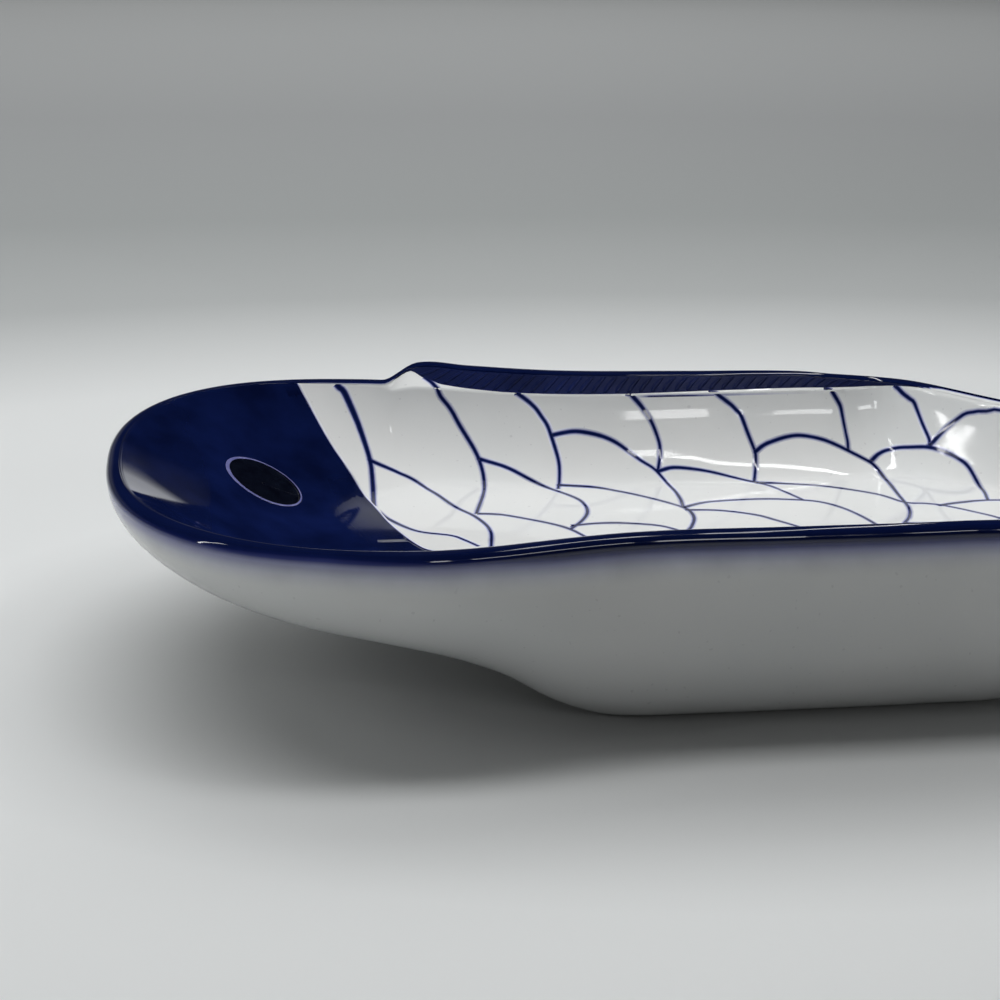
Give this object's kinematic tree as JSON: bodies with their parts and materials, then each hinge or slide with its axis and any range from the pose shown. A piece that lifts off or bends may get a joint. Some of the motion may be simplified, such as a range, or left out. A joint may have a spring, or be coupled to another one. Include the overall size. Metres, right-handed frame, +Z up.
{
  "type": "fish shaped platter",
  "caption": "Long shallow glazed ceramic serving dish in the outline of a fish, with a painted head, scales and fin, a rounded rim and a foot ring to stand on.",
  "frame": {"origin": "on the table below the middle of the platter's box", "axes": "+X from the head to the tail, +Y from the belly to the back with its fin, +Z up"},
  "size_m": [0.3218, 0.1374, 0.0538],
  "materials": {
    "white_glaze": "glossy white glaze over fired clay",
    "head_cobalt": "glossy dark cobalt glaze, slightly blotchy",
    "rim_cobalt": "glossy cobalt edge that bleeds a little into the white",
    "fin_cobalt": "glossy dark cobalt glaze",
    "fin_stroke_ink": "near-black brush strokes under the glaze",
    "tail_cobalt": "glossy dark cobalt glaze, slightly blotchy",
    "gill_cobalt": "cobalt brush line under the glaze",
    "scale_cobalt": "thin cobalt brush lines with a soft bleed",
    "eye_pale": "pale lavender glaze",
    "eye_black": "near-black glaze"
  },
  "bodies": {
    "root": {"body": "white_glaze", "head_glaze": "head_cobalt", "rim_glaze": "rim_cobalt", "fin_glaze": "fin_cobalt", "fin_strokes": "fin_stroke_ink", "tail_glaze": "tail_cobalt", "gill_line": "gill_cobalt", "scale_lines": "scale_cobalt", "eye_ring": "eye_pale", "eye_pupil": "eye_black"}
  },
  "joints": []
}
